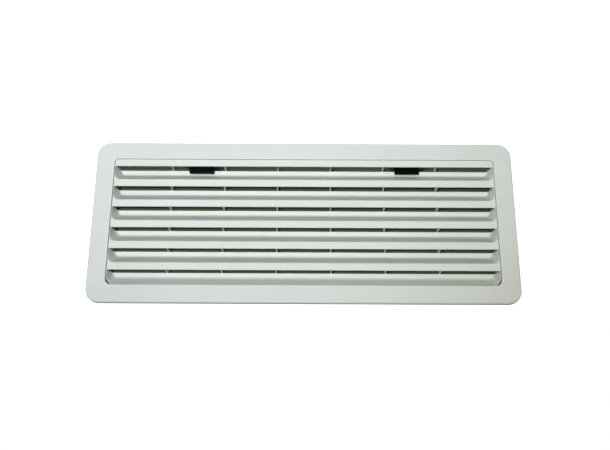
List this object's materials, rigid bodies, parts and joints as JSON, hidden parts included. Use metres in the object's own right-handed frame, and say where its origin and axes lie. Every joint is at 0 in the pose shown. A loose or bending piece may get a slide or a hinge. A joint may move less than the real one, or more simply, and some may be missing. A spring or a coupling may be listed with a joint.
{
  "type": "louvred air grille",
  "caption": "Wide rectangular louvred wall vent: flanged mounting frame with a collar, a hinged removable louvre panel and two black sliding catches.",
  "frame": {"origin": "centre of the collar's rear rim, which the grille lies on when it is face up", "axes": "+Z out of the louvred face, +Y up the wall when fitted, +X to the right seen from the front"},
  "size_m": [0.49, 0.195, 0.03],
  "materials": {
    "frame_plastic": "satin moulded",
    "panel_plastic": "satin moulded",
    "catch_plastic": "semi-gloss moulded",
    "screw_steel": "zinc plated"
  },
  "bodies": {
    "mounting_frame": {"mounting_frame": "frame_plastic", "frame_screw_1": "screw_steel", "frame_screw_2": "screw_steel", "frame_screw_3": "screw_steel", "frame_screw_4": "screw_steel", "frame_screw_5": "screw_steel", "frame_screw_6": "screw_steel", "frame_screw_7": "screw_steel", "frame_screw_8": "screw_steel"},
    "louvre_panel": {"louvre_panel": "panel_plastic"},
    "catch_left": {"catch_slider_left": "catch_plastic"},
    "catch_right": {"catch_slider_right": "catch_plastic"}
  },
  "joints": [
    {"name": "panel_tilt", "type": "hinge", "parent": "mounting_frame", "child": "louvre_panel", "pos_m": [0, -0.0773, 0.0236], "axis": [1, 0, 0], "range_deg": [0, 30]},
    {"name": "catch_left_slide", "type": "slide", "parent": "louvre_panel", "child": "catch_left", "axis": [-1, 0, 0], "range_m": [0, 0.0105]},
    {"name": "catch_right_slide", "type": "slide", "parent": "louvre_panel", "child": "catch_right", "axis": [1, 0, 0], "range_m": [0, 0.0105]}
  ]
}
